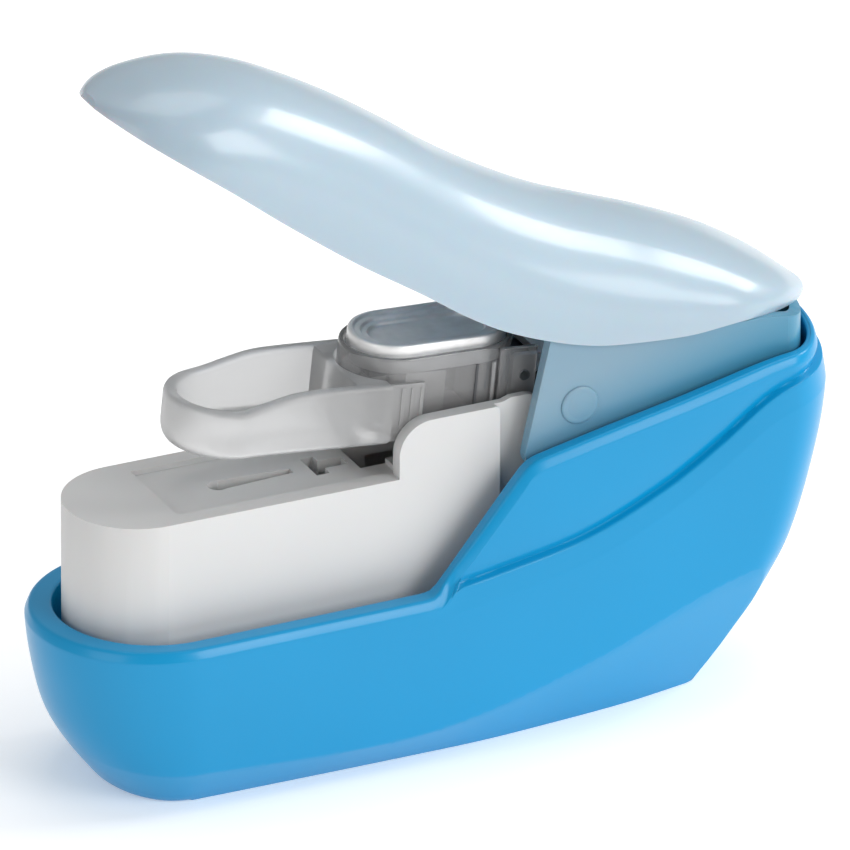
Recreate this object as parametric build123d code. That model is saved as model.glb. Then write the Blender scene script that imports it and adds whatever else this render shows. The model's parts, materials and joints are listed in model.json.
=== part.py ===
"""Staple-free hand stapler: blue shell, white die frame, clear paper guide, steel punch and hinged lever.

Frame: X along the length with the paper mouth at -X, Y across, Z up. The origin is on the underside of
the shell, at the middle of its length. The lever is modelled raised, as it rests. Millimetres and degrees.
"""

from build123d import *
from math import cos, radians, sin, sqrt, tan
import os

# ---- overall sizes ----
shell_length = 106.4
shell_width = 32.0
shell_wall = 2.6  # rear and lower wall of the shell
rim_band = 3.0  # side wall, seen from above as the rim
floor_thickness = 2.5
front_rim_z = 22.8
fin_top_z = 46.6
foot_width = 22.0  # flat underside, across
tail_round = 9.0  # how far the plan rounds off at the rear
shoulder_inset = 0.8  # fin set in above the shoulder line

# ---- layers across the width, from the shell inwards ----
skirt_gap = 1.0
skirt_wall = 1.6
frame_gap = 0.9
cheek_pad = 1.0
frame_wall = 1.0
arm_gap = 0.25
guide_rail = 0.45
housing_wall = 0.7
punch_gap = 0.25

# ---- lever ----
lever_length = 106.6
lever_overhang = 1.0  # lever cover beyond the skirt, each side
cover_wall = 1.8
lever_angle = 24.2  # chord of the raised lever above the horizontal
lever_travel = 16.0
lever_pivot_inset = 11.7  # pivot axis ahead of the shell's rear end
lever_pivot_z = 36.0
lever_tail_rise = 13.5  # lever tail above its pivot axis
lever_tail_behind = 9.7  # and behind it
pivot_pin_r = 1.6
bush_wall = 0.8
bush_flange = 0.4
drive_pin_r = 1.75
drive_pin_ahead = 25.8  # drive pin ahead of the lever pivot
drive_pin_rise = 8.4  # and above it
ear_r = 4.3
skirt_tail_start = 3.0  # where the skirt starts to round off, behind the pivot
skirt_tail = 4.8

# ---- die frame ----
moat = 1.1  # front of the block behind the cavity's front wall
block_top_z = 37.7
block_foot_z = 6.0
block_wall = 2.0
deck = 2.2
dish_depth = 0.7
dish_margin = 2.6
cheek_length = 13.8
cheek_top_z = 45.1
cheek_round = 4.5
hump_top_z = 45.5
plate_thickness = 1.0

# ---- arm, punch and their travel ----
arm_pivot_ahead = 13.5  # arm pivot ahead of the lever pivot
arm_pivot_z = 41.0
arm_pin_r = 1.25
arm_open = 5.8
guide_gap = 0.4  # closed guide above the block
guide_half = 7.9
guide_wall = 1.7
guide_setback = 13.3  # guide nose behind the block nose
guide_front_height = 6.3
guide_height = 8.2
housing_height = 8.6
punch_ahead = 42.4  # punch axis ahead of the lever pivot
press_length = 20.8
press_height = 4.2
press_lip = 1.3
press_recess = 1.6
holder_tail_half = 2.8
holder_cap = 1.6  # thickness of the holder's cap, under the press plate
holder_depth = 3.6  # cap and blade block together
blade_block_half = 2.8
pin_play = 0.15  # above and below the drive pin in the punch holder's slot
link_wall = 1.0
rivet_r = 0.7
blade_thickness = 0.6
running_gap = 0.05
clip_thickness = 0.6

# ---- return spring, screws and pusher ----
spring_seat_z = 20.0
spring_height = 20.4
spring_r = 3.9
spring_wire_r = 0.42
spring_turns = 7.0
screw_r = 1.3
screw_head_r = 2.6
screw_head_depth = 1.3
screw_boss_r = 3.2
screw_boss_top = 14.0
plate_screw_r = 0.8
pusher_pin_r = 1.0
pusher_half = 2.0
leaf_thickness = 0.25
leaf_half = 1.8

# ---- derived places ----
front_x = -shell_length / 2
rear_x = shell_length / 2
cavity_half = shell_width / 2 - rim_band
skirt_half = cavity_half - skirt_gap
cheek_half = skirt_half - skirt_wall - frame_gap
frame_half = cheek_half - cheek_pad
frame_inner = frame_half - frame_wall
rail_half = frame_inner - arm_gap
housing_half = rail_half - guide_rail
press_half = housing_half - housing_wall - punch_gap
lever_half = skirt_half + lever_overhang
nose_x = front_x + shell_width / 2
block_front_x = front_x + rim_band + moat
block_nose_x = block_front_x + cheek_half
pivot_x = rear_x - lever_pivot_inset
pivot_z = lever_pivot_z
tail_x = pivot_x + lever_tail_behind
tail_z = pivot_z + lever_tail_rise
drive_x = pivot_x - drive_pin_ahead
drive_z = pivot_z + drive_pin_rise
arm_x = pivot_x - arm_pivot_ahead
arm_z = arm_pivot_z
punch_x = pivot_x - punch_ahead
cheek_front_x = punch_x - 7.0
cheek_rear_x = cheek_front_x + cheek_length
hump_rear_x = drive_x - drive_pin_r - 2.0
guide_front_x = block_front_x + guide_setback
guide_floor_z = block_top_z + guide_gap
housing_floor_z = guide_floor_z + 1.4
housing_top_z = housing_floor_z + housing_height
press_top_z = housing_top_z + 3.4
screw_xs = (nose_x + 7.0, punch_x + 4.0, arm_x - 2.0)
plate_screw_xs = (punch_x - 29.8, punch_x - 11.4)
pusher_x = punch_x - 12.0
pusher_z = 25.0


# ---- helpers ----
def up(z):
    """A horizontal plane at height z."""
    return Plane.XY.offset(z)


def slab(outline, half_width):
    """A side outline, drawn as (x, z) points or edges, given a width either side of the middle plane."""
    face = Plane.XZ * make_face(outline)
    return extrude(face, amount=half_width, both=True)


def side_polygon(points, radii=None):
    """Closed (x, z) polygon, with a radius for each corner where radii are given."""
    if radii is None:
        return Polyline(*points, close=True)
    return FilletPolyline(*points, radius=radii, close=True)


def cross_cylinder(x, z, radius, half_length, inner=0.0):
    """A cylinder across the width, or a tube when inner is given."""
    disc = Circle(radius)
    if inner:
        disc -= Circle(inner)
    plane = Plane(origin=(x, 0, z), x_dir=(1, 0, 0), z_dir=(0, -1, 0))
    return extrude(plane * disc, amount=half_length, both=True)


def block(x0, x1, y0, y1, z0, z1):
    """An axis-aligned box between two corners."""
    return Pos((x0 + x1) / 2, (y0 + y1) / 2, (z0 + z1) / 2) * Box(x1 - x0, y1 - y0, z1 - z0)


def both_sides(shape):
    """A shape and its mirror image across the middle plane."""
    return shape + mirror(shape, Plane.XZ)


def stadium(x0, x1, half):
    """A face with round ends from x0 to x1."""
    return Pos((x0 + x1) / 2, 0) * SlotOverall(x1 - x0, 2 * half)


def raised(shape):
    """Turns an arm piece from its closed place to its place at rest."""
    axis = Axis((arm_x, 0, arm_z), (0, 1, 0))
    return shape.rotate(axis, arm_open)


def solid_of(shape):
    """The largest solid of a result, so that a node is one clean body."""
    return max(shape.solids(), key=lambda s: s.volume)


# ---- shell ----
def plan(z, nose_reach, half, rear, tail_reach):
    """Plan outline of the shell at one height: elliptical nose, straight sides, elliptical tail."""
    centre = rear - tail_reach
    edges = [
        EllipticalCenterArc((nose_x, 0), nose_reach, half, start_angle=90, arc_size=180),
        Line((nose_x, -half), (centre, -half)),
        EllipticalCenterArc((centre, 0), tail_reach, half, start_angle=-90, arc_size=180),
        Line((centre, half), (nose_x, half)),
    ]
    return up(z) * make_face(Wire(edges))


def hull(inset=0.0):
    """The outer form of the shell, or the same form set in by a distance."""
    half = shell_width / 2
    # height, share of the nose lost, share of the half-width lost, rear end ahead of the shell's rear
    stages = [
        (0.0, 8.3, 1.8, 18.4),
        (4.5, 4.9, 1.0, 14.6),
        (9.0, 2.4, 0.6, 11.5),
        (14.0, 1.0, 0.3, 8.2),
        (21.0, 0.1, 0.0, 4.6),
        (32.0, 0.0, 0.0, 1.5),
        (40.0, 0.0, 0.0, 0.2),
        (fin_top_z + 1.0, 0.0, 0.3, 0.3),
    ]
    faces = [
        plan(z, half - nose - inset, half - side - inset, rear_x - back - inset, tail_round - inset)
        for z, nose, side, back in stages
    ]
    return loft(faces)


def crease_wedge(side):
    """What the slanted lower flank takes off one side: the crease climbs towards the rear."""
    foot = foot_width / 2
    half = shell_width / 2
    sections = []
    for x, crease_z in ((front_x - 1, 5.0), (punch_x, 4.6), (drive_x, 9.2), (arm_x + 6, 15.9), (rear_x + 1, 20.0)):
        slope = crease_z / (half - 1.0 - foot)
        reach = half + 3.0
        points = [(side * foot, 0), (side * foot, -2), (side * reach, -2), (side * reach, slope * (reach - foot))]
        plane = Plane(origin=(x, 0, 0), x_dir=(0, 1, 0), z_dir=(1, 0, 0))
        sections.append(plane * make_face(Polyline(*points, close=True)))
    return loft(sections, ruled=True)


def rim_cutter():
    """Everything above the rim: low round the nose, then up the fins to the rear."""
    top = fin_top_z + 20
    points = [
        (front_x - 5, front_rim_z),
        (cheek_front_x + 1.2, front_rim_z + 0.6),
        (cheek_front_x + 14.2, 39.2),
        (arm_x - 4.4, 43.0),
        (arm_x + 10.0, fin_top_z),
        (rear_x + 5, fin_top_z),
        (rear_x + 5, top),
        (front_x - 5, top),
    ]
    return slab(side_polygon(points, [0, 1.5, 2.5, 12, 12, 0, 0, 0]), shell_width)


def shoulder_cutter():
    """The thin layer that the fin is set in by, above a shoulder line that sweeps up to the rear."""
    line = Spline(
        (cheek_front_x - 1, front_rim_z + 1.2), (drive_x, 27.9), (arm_x + 5.5, 37.0), (arm_x + 13, 42.4),
        (rear_x + 4, 44.2),
    )
    close = Polyline(
        (rear_x + 4, 44.2), (rear_x + 4, fin_top_z + 6), (cheek_front_x - 1, fin_top_z + 6),
        (cheek_front_x - 1, front_rim_z + 1.2),
    )
    region = slab(Wire([line] + list(close.edges())), shell_width)
    return region - hull(shoulder_inset)


def cavity():
    """The room inside the shell."""
    half = cavity_half
    # height, nose reach lost, half-width lost, wall behind the tail measured with the shell's lean
    stages = [
        (floor_thickness, 8.8, 4.2, 17.4),
        (10.0, 4.0, 1.6, 11.4),
        (18.0, 0.8, 0.2, 6.6),
        (24.0, 0.0, 0.0, 3.6),
        (29.0, 0.0, 0.0, 2.3),
        (34.0, 0.0, 0.0, 1.2),
        (40.0, 0.0, 0.0, 0.3),
        (fin_top_z + 2.0, 0.0, 0.0, 0.3),
    ]
    faces = [
        plan(z, half - nose, half - side, rear_x - back - shell_wall, tail_round - shell_wall)
        for z, nose, side, back in stages
    ]
    return loft(faces, ruled=True)


def base_shell():
    """One-piece lower body: tub, fins and the screw seats in its floor."""
    body = hull() - crease_wedge(1) - crease_wedge(-1) - rim_cutter() - shoulder_cutter() - cavity()
    for x in screw_xs:
        body -= Pos(x, 0, floor_thickness / 2) * Cylinder(screw_r + 0.2, floor_thickness + 2)
        body -= Pos(x, 0, 0) * Cylinder(screw_head_r + 0.2, 2 * screw_head_depth)
    return solid_of(body)


# ---- die frame ----
def frame_side_profile():
    """Outline of the frame's side walls, from the cheeks to the lever pivot."""
    slot_x = drive_x - 0.6
    slot_half = drive_pin_r + 1.3
    slot_foot = drive_z - 13.6
    points = [
        (cheek_front_x, block_foot_z),
        (rear_x - 21.6, block_foot_z),
        (rear_x - 10.6, 20.5),
        (pivot_x + 4.2, 31.0),
        (pivot_x + 4.2, pivot_z + 5.0),
        (arm_x + 5.0, arm_z + 4.2),
        (slot_x + slot_half, arm_z + 4.2),
        (slot_x + slot_half, slot_foot),
        (slot_x - slot_half, slot_foot),
        (slot_x - slot_half, hump_top_z),
        (cheek_rear_x + 2.0, hump_top_z),
        (cheek_rear_x + 0.8, cheek_top_z),
        (cheek_front_x, cheek_top_z),
    ]
    return side_polygon(points, [0, 2, 2, 3, 4, 3, 2, 1.5, 1.5, 2.2, 0.8, 0.8, cheek_round])


def block_outline(inset=0.0):
    """Plan of the die block: round nose and straight sides back to the cheeks."""
    half = cheek_half - inset
    end = cheek_front_x + 1.0
    nose = Pos(block_nose_x, 0) * Circle(half)
    return nose + Pos((block_nose_x + end) / 2, 0) * Rectangle(end - block_nose_x, 2 * half)


def keyhole_cut():
    """Slit for the blade and the T-shaped hole for the tongue, through the deck."""
    slit_front = punch_x - 29.0
    slit = Pos(slit_front + 1.4, 0) * Circle(1.4)
    taper = Polyline((slit_front + 1.4, 1.3), (slit_front + 11.5, 0.6), (slit_front + 11.5, -0.6),
                     (slit_front + 1.4, -1.3), close=True)
    tee = block(punch_x - 15.2, punch_x - 13.4, -2.6, 2.6, 0, 1) + block(
        punch_x - 13.5, punch_x - 10.2, -1.1, 1.1, 0, 1)
    depth = deck + plate_thickness + 2
    cut = extrude(slit + make_face(taper), amount=depth)
    tee = scale(tee, by=(1, 1, depth))
    return Pos(0, 0, block_top_z - depth + 0.5) * (cut + tee)


def blade_well():
    """Clear way for the blades through the deck and the bulkhead, behind the T-shaped hole."""
    return block(punch_x - 9.4, punch_x + 2.6, -3.0, 3.0, guide_floor_z - 14.0, block_top_z + 1)


def screw_bosses():
    """Bosses that the frame stands on and is screwed down through."""
    bosses = Part()
    for x in screw_xs:
        bosses += Pos(x, 0, (floor_thickness + running_gap + screw_boss_top) / 2) * Cylinder(
            screw_boss_r, screw_boss_top - floor_thickness - running_gap)
        reach = cheek_half - 1 if x < cheek_front_x else frame_inner + 0.2
        bosses += block(x - 0.8, x + 0.8, -reach, reach, block_foot_z, screw_boss_top - 1)
    return bosses


def screw_holes():
    """Blind holes that the screws cut their thread in."""
    holes = Part()
    for x in screw_xs:
        holes += Pos(x, 0, 5.5) * Cylinder(screw_r, 13)
    return holes


def main_frame():
    """White frame: die block in front, cheeks, side walls to the rear and cross walls between them."""
    front = extrude(up(block_foot_z) * block_outline(), amount=block_top_z - block_foot_z)
    front -= slab(side_polygon([
        (front_x, 0), (nose_x + 5, 0), (nose_x + 2, block_foot_z), (block_front_x - 1, 20), (front_x, 20)]),
        shell_width)
    hollow = extrude(up(block_foot_z - 1) * block_outline(block_wall),
                     amount=block_top_z - block_foot_z - deck - plate_thickness + 1)
    hollow -= block(cheek_front_x - block_wall, rear_x, -cheek_half, cheek_half, 0, block_top_z)
    dish = extrude(up(block_top_z - dish_depth) * block_outline(dish_margin), amount=2)
    dish &= block(guide_front_x - 1.5, cheek_front_x + 2, -cheek_half, cheek_half, 0, block_top_z + 2)
    walls = slab(frame_side_profile(), frame_half) - block(
        cheek_front_x - 1, rear_x, -frame_inner, frame_inner, 0, 80)
    pads = slab(side_polygon([
        (cheek_front_x, block_foot_z), (cheek_rear_x, block_foot_z), (cheek_rear_x, cheek_top_z),
        (cheek_front_x, cheek_top_z)], [0, 0, 0.6, cheek_round]), cheek_half)
    pads -= block(cheek_front_x - 1, rear_x, -frame_inner, frame_inner, 0, 80)
    floor = block(cheek_front_x - block_wall, rear_x - 23.5, -frame_inner - 0.2, frame_inner + 0.2,
                  block_foot_z, block_foot_z + 2)
    bulkhead = block(cheek_front_x - block_wall, cheek_front_x, -cheek_half, cheek_half,
                     block_foot_z, block_top_z - deck)
    seat = block(drive_x - 5.6, drive_x + 5.6, -frame_inner - 0.2, frame_inner + 0.2,
                 spring_seat_z - 2, spring_seat_z)
    rear_deck = block(cheek_front_x, cheek_front_x + 12, -frame_inner - 0.2, frame_inner + 0.2,
                      block_top_z - deck, block_top_z)
    body = (front - hollow) + walls + pads + floor + bulkhead + seat + rear_deck + screw_bosses()
    body -= blade_well()
    body -= dish
    body -= keyhole_cut()
    body -= screw_holes()
    body -= plate_pocket(0)
    body -= cross_cylinder(pivot_x, pivot_z, pivot_pin_r, shell_width)
    body -= cross_cylinder(arm_x, arm_z, arm_pin_r, shell_width)
    body -= pusher_lugs_cut()
    for x in plate_screw_xs:
        body -= Pos(x, 4.6, block_top_z - deck) * Cylinder(plate_screw_r, 1.6)
        body -= Pos(x, -4.6, block_top_z - deck) * Cylinder(plate_screw_r, 1.6)
    return solid_of(body)


def plate_outline(gap=0.0):
    """Plan of the steel die plate and of its pocket."""
    half = cheek_half - block_wall - 0.6 + gap
    return Pos((punch_x - 31.0 + punch_x - 8.6) / 2, 0) * RectangleRounded(22.4 + 2 * gap, 2 * half, 2.0)


def plate_pocket(gap):
    """Room for the die plate under the deck."""
    top = block_top_z - deck
    return extrude(up(top - plate_thickness) * plate_outline(gap), amount=plate_thickness)


def die_plate():
    """Hardened steel plate under the deck with the same slit and hole, which the blades shear against."""
    plate = plate_pocket(0) - keyhole_cut()
    for x in plate_screw_xs:
        plate -= Pos(x, 4.6, block_top_z - deck) * Cylinder(plate_screw_r, 6)
        plate -= Pos(x, -4.6, block_top_z - deck) * Cylinder(plate_screw_r, 6)
    return plate


def pusher_lugs_cut():
    """Cross hole in the block's side walls for the flap pusher's pin."""
    return cross_cylinder(pusher_x, pusher_z, pusher_pin_r, cheek_half - 0.8)


def flap_pusher():
    """Small lever that tucks the cut tongue into the slit in the blade."""
    outline = side_polygon([
        (pusher_x - 2.4, pusher_z - 2.4), (pusher_x + 2.4, pusher_z - 2.4), (pusher_x + 2.4, pusher_z + 2.0),
        (pusher_x + 0.6, pusher_z + 7.6), (pusher_x - 1.2, pusher_z + 7.6), (pusher_x - 2.4, pusher_z + 1.0)],
        [1.6, 1.6, 0.8, 0.6, 0.6, 0.8])
    return slab(outline, pusher_half) - cross_cylinder(
        pusher_x, pusher_z, pusher_pin_r + running_gap, pusher_half + 1)


def pusher_pin():
    """Pin that the flap pusher turns on."""
    return cross_cylinder(pusher_x, pusher_z, pusher_pin_r, cheek_half - 0.8)


def pusher_collars():
    """Spacer tubes that centre the pusher on its pin."""
    length = cheek_half - block_wall - pusher_half - 0.2
    tube = cross_cylinder(pusher_x, pusher_z, pusher_pin_r + 0.9, length / 2, pusher_pin_r)
    return both_sides(Pos(0, pusher_half + 0.1 + length / 2, 0) * tube)


# ---- lever ----
def smooth(table, share):
    """Value at a share of the way along a table of (share, value) points, without corners."""
    slopes = []
    for i in range(len(table)):
        before = table[max(i - 1, 0)]
        after = table[min(i + 1, len(table) - 1)]
        slopes.append((after[1] - before[1]) / (after[0] - before[0]))
    for i in range(len(table) - 1):
        (s0, v0), (s1, v1) = table[i], table[i + 1]
        if share <= s1:
            span = s1 - s0
            t = (share - s0) / span
            return ((2 * t ** 3 - 3 * t ** 2 + 1) * v0 + (t ** 3 - 2 * t ** 2 + t) * span * slopes[i]
                    + (3 * t ** 2 - 2 * t ** 3) * v1 + (t ** 3 - t ** 2) * span * slopes[i + 1])
    return table[-1][1]


def lever_point(share, height):
    """Side-view place of a point at a share of the raised lever's length and a height off its chord."""
    turn = radians(lever_angle)
    reach = share * lever_length
    return tail_x - reach * cos(turn) + height * sin(turn), tail_z + reach * sin(turn) + height * cos(turn)


def lever_station(share, clearance=0.0):
    """Half-width, underside and crown of the lever cover at a share of its length from the tail."""
    widths = [(0.0, 0.18), (0.03, 0.42), (0.08, 0.68), (0.15, 0.87), (0.25, 0.98), (0.4, 1.0), (0.6, 1.0),
              (0.8, 1.0), (0.88, 0.94), (0.93, 0.8), (0.965, 0.61), (0.99, 0.34), (1.0, 0.16)]
    unders = [(0.0, -0.6), (0.06, -1.5), (0.12, -3.5), (0.18, -6.6), (0.25, -9.3), (0.3, -10.9), (0.36, -11.8),
              (0.425, -12.0), (0.48, -11.4), (0.55, -10.0), (0.65, -8.2), (0.76, -5.6), (0.85, -3.2),
              (0.93, -1.5), (1.0, -0.2)]
    crowns = [(0.0, 0.6), (0.06, 2.2), (0.14, 3.4), (0.22, 3.7), (0.3, 3.4), (0.37, 3.2), (0.45, 3.8),
              (0.53, 5.0), (0.6, 6.6), (0.68, 8.1), (0.76, 9.0), (0.82, 9.1), (0.88, 8.0), (0.94, 5.2),
              (0.98, 2.4), (1.0, 0.8)]

    half = smooth(widths, share) * lever_half - clearance
    return half, smooth(unders, share), smooth(crowns, share) - clearance


def arch(share, clearance=0.0, drop=0.0):
    """Closed cross-section of the lever: a full-shouldered arch over a flat underside."""
    half, under, crown = lever_station(share, clearance)
    under -= drop
    half = max(half, 0.4)
    crown = max(crown, under + drop + 0.3)
    power = 2.4
    points = []
    steps = 8
    for i in range(steps + 1):
        angle = radians(180.0 * i / steps)
        reach = abs(cos(angle)) ** (2 / power) * (1 if cos(angle) >= 0 else -1)
        points.append((half * reach, under + (crown - under) * sin(angle) ** (2 / power)))
    along = Vector(-cos(radians(lever_angle)), 0, sin(radians(lever_angle)))
    origin = Vector(tail_x, 0, tail_z) + along * (share * lever_length)
    plane = Plane(origin=origin, x_dir=(0, 1, 0), z_dir=along)
    # the plane's own Y axis points down for this x_dir, so heights are negated
    sign = 1 if plane.y_dir.Z > 0 else -1
    local = [(y, sign * h) for y, h in points]
    curve = Spline(*local)
    base = Line(local[-1], local[0])
    return plane * make_face(Wire([curve, base]))


def lever_form(clearance=0.0, drop=0.0, first=0.0, last=1.0):
    """The lever cover's solid form, or the hollow under it."""
    shares = [first] + [s for s in (0.05, 0.12, 0.2, 0.3, 0.4, 0.5, 0.6, 0.7, 0.8, 0.87, 0.93, 0.97)
                        if first < s < last] + [last]
    return loft([arch(s, clearance, drop) for s in shares])


def lever_cover():
    """Crowned cover that the hand presses, hollow underneath."""
    return solid_of(lever_form() - lever_form(cover_wall, 4.0, 0.035, 0.965))


def skirt_ring(half, tail_reach, height_from, height_to):
    """Plan of the skirt: straight sides joined round the rear."""
    centre = pivot_x + skirt_tail_start
    edges = [
        Line((drive_x - 20, half), (drive_x - 20, -half)),
        Line((drive_x - 20, -half), (centre, -half)),
        EllipticalCenterArc((centre, 0), tail_reach, half, start_angle=-90, arc_size=180),
        Line((centre, half), (drive_x - 20, half)),
    ]
    return extrude(up(height_from) * make_face(Wire(edges)), amount=height_to - height_from)


def lever_skirt(cover):
    """Side plates under the cover that carry the drive pin and turn on the pivot."""
    inner = skirt_half - skirt_wall
    ring = skirt_ring(skirt_half, skirt_tail, 20, 80) - skirt_ring(inner, skirt_tail - skirt_wall, 19, 81)
    front_foot = (drive_x - 7.9, pivot_z + 1.2)
    profile = slab(side_polygon([
        front_foot, (drive_x - 4.0, drive_z + 9.5), (drive_x - 1.0, drive_z + 19),
        (pivot_x + 9, drive_z + 19), (pivot_x + 9, pivot_z + 5.0), (pivot_x + 3.0, pivot_z + 3.0),
        (pivot_x - 6.0, pivot_z - 6.0)], [2.2, 0, 0, 0, 0, 2, 4]), shell_width)
    ears = cross_cylinder(pivot_x, pivot_z, ear_r, shell_width)
    profile += ears
    profile -= block(pivot_x + ear_r, rear_x + 5, -shell_width, shell_width, 0, pivot_z + 5.8)
    skirt = (ring & profile & lever_below()) - cover
    skirt = solid_of(skirt)
    skirt -= cross_cylinder(drive_x, drive_z, drive_pin_r, shell_width)
    skirt -= cross_cylinder(pivot_x, pivot_z, pivot_pin_r + running_gap + bush_wall, shell_width)
    return skirt


def lever_below():
    """The hollow of the cover and everything below its rim, where the skirt may be."""
    shares = [0.02 + 0.07 * i for i in range(10)]
    rim = [lever_point(share, lever_station(share)[1]) for share in shares]
    low = Polyline(rim[-1], (rim[-1][0], 0), (rim[0][0], 0), rim[0])
    under = slab(Wire([Spline(*rim)] + list(low.edges())), shell_width)
    return under + lever_form(cover_wall, 4.0, 0.035, 0.965)


def lever_bushes():
    """Plain bushes pressed into the skirt, one each side, running on the pivot pin."""
    inner = skirt_half - skirt_wall
    bore = pivot_pin_r + running_gap
    tube = cross_cylinder(pivot_x, pivot_z, bore + bush_wall, skirt_wall / 2, bore)
    flange = cross_cylinder(pivot_x, pivot_z, bore + bush_wall + 0.5, bush_flange / 2, bore)
    one = Pos(0, inner + skirt_wall / 2, 0) * tube + Pos(0, inner - bush_flange / 2, 0) * flange
    return both_sides(one)


def pivot_pin():
    """Lever pivot pin, through the frame walls and both skirt bushes."""
    return cross_cylinder(pivot_x, pivot_z, pivot_pin_r, skirt_half + 0.5)


def drive_pin():
    """Steel pin pressed through the skirt, which pulls the punch down and lifts it again."""
    return cross_cylinder(drive_x, drive_z, drive_pin_r, skirt_half + 0.15)


# ---- arm ----
def guide_outline(inset, rear):
    """Plan of the guide loop from its round nose to a rear end."""
    half = guide_half - inset
    centre = guide_front_x + guide_half
    nose = Pos(centre, 0) * Circle(half)
    return nose + Pos((centre + rear) / 2, 0) * Rectangle(rear - centre, 2 * half)


def housing_front():
    """Front end of the punch housing, ahead of the punch axis."""
    return punch_x - press_length / 2 - punch_gap - housing_wall


def housing_rear():
    """Rear end of the punch housing."""
    return punch_x + press_length / 2 + punch_gap + housing_wall


def paper_guide():
    """Clear loop that holds the paper down, with thin rails back along the housing."""
    floor = guide_floor_z
    loop_rear = cheek_front_x - 0.6
    top = floor + guide_height
    shoulder_x = guide_front_x + 11.5
    crest = [
        Line((guide_front_x - 2, floor + guide_front_height), (guide_front_x + 8.6, floor + guide_front_height)),
        Spline((guide_front_x + 8.6, floor + guide_front_height),
               (shoulder_x, (2 * floor + guide_front_height + guide_height) / 2),
               (guide_front_x + 14.4, top), tangents=[(1, 0), (1, 0.45), (1, 0)]),
        Polyline((guide_front_x + 14.4, top), (punch_x + 1.5, top), (punch_x + 1.5, floor),
                 (guide_front_x + 3.2, floor)),
        Spline((guide_front_x + 3.2, floor), (guide_front_x + 0.7, floor + 1.2), (guide_front_x - 0.1, floor + 4.4),
               tangents=[(-1, 0.05), (-0.7, 0.7), (0.0, 1)]),
        Polyline((guide_front_x - 0.1, floor + 4.4), (guide_front_x - 2, floor + 4.4),
                 (guide_front_x - 2, floor + guide_front_height)),
    ]
    side = slab(Wire([edge for part in crest for edge in part.edges()]), shell_width)
    loop = extrude(up(floor) * guide_outline(0, loop_rear), amount=guide_height + 1)
    rails = block(loop_rear - 1, punch_x + 1.5, -rail_half, rail_half, floor, top)
    body = (loop + rails) & side
    window_rear = housing_front() - 1.0
    body -= extrude(up(floor - 1) * guide_outline(guide_wall, window_rear), amount=guide_height + 4)
    seat = stadium(housing_front() - 0.02, housing_rear(), housing_half)
    body -= extrude(up(housing_floor_z) * seat, amount=guide_height + 4)
    body -= extrude(up(floor - 1) * blade_window(), amount=6)
    return solid_of(body)


def blade_window():
    """Opening in the guide's floor that the blades come down through."""
    return Pos(punch_x - 3.0, 0) * RectangleRounded(12.0, 6.4, 1.2)


def arm_housing():
    """Smoky clear housing round the punch."""
    floor = housing_floor_z
    outer = stadium(housing_front(), housing_rear(), housing_half)
    inner = stadium(housing_front() + housing_wall, housing_rear() - housing_wall, housing_half - housing_wall)
    body = extrude(up(floor) * outer, amount=housing_height) - extrude(
        up(floor + 1.0) * inner, amount=housing_height)
    body -= extrude(up(floor - 1) * blade_window(), amount=6)
    gate_half = holder_tail_half + 0.4
    body -= block(holder_tail_x() - 0.5, housing_rear() + 5, -gate_half, gate_half, floor - 3,
                  housing_top_z - 1.2)
    lug = slab(side_polygon([
        (housing_rear() - housing_half, floor), (lug_rear(), floor), (lug_rear(), housing_top_z),
        (housing_rear() - housing_half, housing_top_z)], [0, 1, 2.4, 0]), housing_half)
    lug -= block(housing_front(), lug_rear() + 1, -housing_half + housing_wall, housing_half - housing_wall, 0, 80)
    body += lug
    for x, z in rivet_places():
        body -= cross_cylinder(x, z, rivet_r, shell_width)
    return body


def lug_rear():
    """Rear end of the housing's two lugs, which the yoke is riveted to."""
    return housing_rear() + 1.2


def rivet_places():
    """Rivet centres in the lugs, in the arm's closed position."""
    return [(lug_rear() - 1.6, housing_floor_z + 2.2), (lug_rear() - 1.6, housing_top_z - 2.6)]


def arm_rivets():
    """Rivets through the lugs and the yoke."""
    length = housing_wall + link_wall
    rivets = Part()
    for x, z in rivet_places():
        rivets += Pos(0, housing_half - length / 2, 0) * cross_cylinder(x, z, rivet_r, length / 2)
    return both_sides(rivets)


def holder_tail_x():
    """Front face of the punch holder's tail."""
    return punch_x + 6.0


def arm_link():
    """Steel yoke from the housing back to the arm pivot, arched over the drive pin."""
    half = housing_half - housing_wall
    inner = half - link_wall
    top = housing_top_z
    under = drive_z + drive_pin_r - 0.4
    front = housing_rear() - housing_half + sqrt(housing_half ** 2 - inner ** 2) + 0.3
    eye = 3.2
    outline = side_polygon([
        (front, housing_floor_z), (front, top), (arm_x - eye, top), (arm_x + eye, arm_z + eye),
        (arm_x + eye, arm_z - eye), (arm_x - eye, arm_z - eye), (arm_x - eye, under), (lug_rear(), under),
        (lug_rear() - 0.4, housing_floor_z)], [0.8, 0.8, 2, 2.4, 3, 3, 1.2, 0.8, 0.8])
    body = slab(outline, half)
    body -= block(front - 1, arm_x + 9, -inner, inner, 20, top - link_wall)
    body -= block(front - 1, lug_rear() + 0.6, -inner, inner, 20, 80)
    body -= cross_cylinder(arm_x, arm_z, arm_pin_r + running_gap, shell_width)
    for x, z in rivet_places():
        body -= cross_cylinder(x, z, rivet_r, shell_width)
    return body


def arm_pin():
    """Pin that the arm turns on, held in the frame walls."""
    return cross_cylinder(arm_x, arm_z, arm_pin_r, frame_half + 0.5)


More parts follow.
